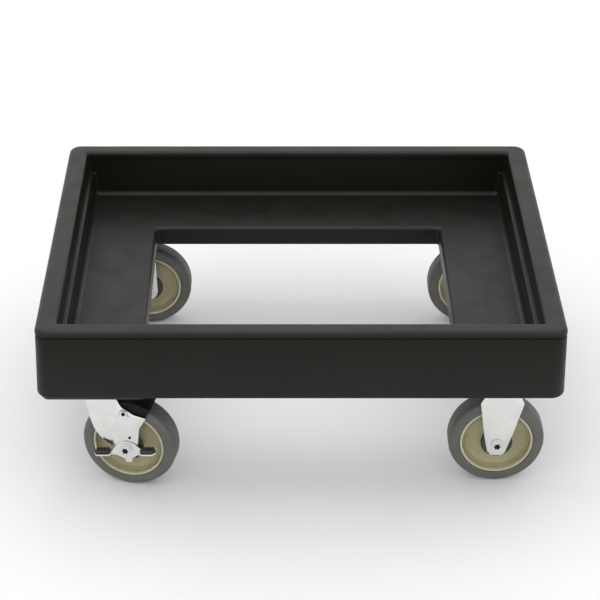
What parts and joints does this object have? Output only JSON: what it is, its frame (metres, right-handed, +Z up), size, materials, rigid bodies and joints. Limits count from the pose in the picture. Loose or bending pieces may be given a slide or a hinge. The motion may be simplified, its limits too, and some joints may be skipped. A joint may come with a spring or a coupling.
{
  "type": "furniture dolly",
  "caption": "Moulded plastic carrier dolly with a recessed well and open centre, rigid casters at one end and swivel casters with a side foot brake at the other.",
  "frame": {"origin": "centre of the footprint, on the floor under the wheels", "axes": "+X along the long side towards the rigid casters, +Y to the rear away from the foot brake, +Z up"},
  "size_m": [0.6768, 0.5308, 0.2624],
  "materials": {
    "deck_plastic": "satin moulded",
    "zinc_plate": "bright zinc plated",
    "fastener_steel": "zinc plated",
    "guard_steel": "dull dark",
    "core_plastic": "semi-gloss",
    "tyre_rubber": "matte",
    "pad_rubber": "matte"
  },
  "bodies": {
    "base": {"deck": "deck_plastic", "front_left_top_plate": "zinc_plate", "front_left_mounting_bolt_1": "fastener_steel", "front_left_mounting_bolt_2": "fastener_steel", "front_left_mounting_bolt_3": "fastener_steel", "front_left_mounting_bolt_4": "fastener_steel", "front_left_upper_race": "zinc_plate", "front_left_kingpin": "fastener_steel", "rear_left_top_plate": "zinc_plate", "rear_left_mounting_bolt_1": "fastener_steel", "rear_left_mounting_bolt_2": "fastener_steel", "rear_left_mounting_bolt_3": "fastener_steel", "rear_left_mounting_bolt_4": "fastener_steel", "rear_left_upper_race": "zinc_plate", "rear_left_kingpin": "fastener_steel", "front_right_top_plate": "zinc_plate", "front_right_mounting_bolt_1": "fastener_steel", "front_right_mounting_bolt_2": "fastener_steel", "front_right_mounting_bolt_3": "fastener_steel", "front_right_mounting_bolt_4": "fastener_steel", "front_right_fork": "zinc_plate", "front_right_axle_bolt": "fastener_steel", "front_right_axle_nut": "zinc_plate", "front_right_axle_sleeve": "fastener_steel", "rear_right_top_plate": "zinc_plate", "rear_right_mounting_bolt_1": "fastener_steel", "rear_right_mounting_bolt_2": "fastener_steel", "rear_right_mounting_bolt_3": "fastener_steel", "rear_right_mounting_bolt_4": "fastener_steel", "rear_right_fork": "zinc_plate", "rear_right_axle_bolt": "fastener_steel", "rear_right_axle_nut": "zinc_plate", "rear_right_axle_sleeve": "fastener_steel"},
    "front_left_swivel": {"front_left_fork": "zinc_plate", "front_left_axle_bolt": "fastener_steel", "front_left_axle_nut": "zinc_plate", "front_left_axle_sleeve": "fastener_steel", "front_left_ball_ring": "fastener_steel"},
    "front_left_wheel": {"front_left_wheel_core": "core_plastic", "front_left_tyre": "tyre_rubber", "front_left_thread_guard": "guard_steel"},
    "rear_left_swivel": {"rear_left_fork": "zinc_plate", "rear_left_axle_bolt": "fastener_steel", "rear_left_axle_nut": "zinc_plate", "rear_left_axle_sleeve": "fastener_steel", "rear_left_ball_ring": "fastener_steel"},
    "rear_left_wheel": {"rear_left_wheel_core": "core_plastic", "rear_left_tyre": "tyre_rubber", "rear_left_thread_guard": "guard_steel"},
    "front_right_wheel": {"front_right_wheel_core": "core_plastic", "front_right_tyre": "tyre_rubber", "front_right_thread_guard": "guard_steel"},
    "rear_right_wheel": {"rear_right_wheel_core": "core_plastic", "rear_right_tyre": "tyre_rubber", "rear_right_thread_guard": "guard_steel"},
    "brake_pedal": {"brake_pedal": "zinc_plate", "brake_pad_inboard": "pad_rubber", "brake_pad_outboard": "pad_rubber"},
    "brake_shoe": {"brake_shoe": "fastener_steel"}
  },
  "joints": [
    {"name": "front_left_swivel_turn", "type": "hinge", "parent": "base", "child": "front_left_swivel", "pos_m": [-0.258, -0.2012, 0.149], "axis": [0, 0, 1], "continuous": true},
    {"name": "rear_left_swivel_turn", "type": "hinge", "parent": "base", "child": "rear_left_swivel", "pos_m": [-0.258, 0.2012, 0.149], "axis": [0, 0, 1], "continuous": true},
    {"name": "front_left_wheel_spin", "type": "hinge", "parent": "front_left_swivel", "child": "front_left_wheel", "pos_m": [-0.2234, -0.20912, 0.0635], "axis": [0.2231, 0.9748, 0], "continuous": true},
    {"name": "rear_left_wheel_spin", "type": "hinge", "parent": "rear_left_swivel", "child": "rear_left_wheel", "pos_m": [-0.2225, 0.2012, 0.0635], "axis": [0, 1, 0], "continuous": true},
    {"name": "front_right_wheel_spin", "type": "hinge", "parent": "base", "child": "front_right_wheel", "pos_m": [0.2603, -0.2012, 0.0635], "axis": [0, 1, 0], "continuous": true},
    {"name": "rear_right_wheel_spin", "type": "hinge", "parent": "base", "child": "rear_right_wheel", "pos_m": [0.2603, 0.2012, 0.0635], "axis": [0, 1, 0], "continuous": true},
    {"name": "brake_pedal_press", "type": "hinge", "parent": "front_left_swivel", "child": "brake_pedal", "pos_m": [-0.2234, -0.20912, 0.0635], "axis": [0.2231, 0.9748, 0], "range_deg": [0, 18]},
    {"name": "brake_shoe_slide", "type": "slide", "parent": "front_left_swivel", "child": "brake_shoe", "axis": [0, 0, -1], "range_m": [0, 0.0015]}
  ],
  "couplings": [
    {"joint": "brake_shoe_slide", "follows": "brake_pedal_press", "m_per_rad": 0.00477}
  ]
}
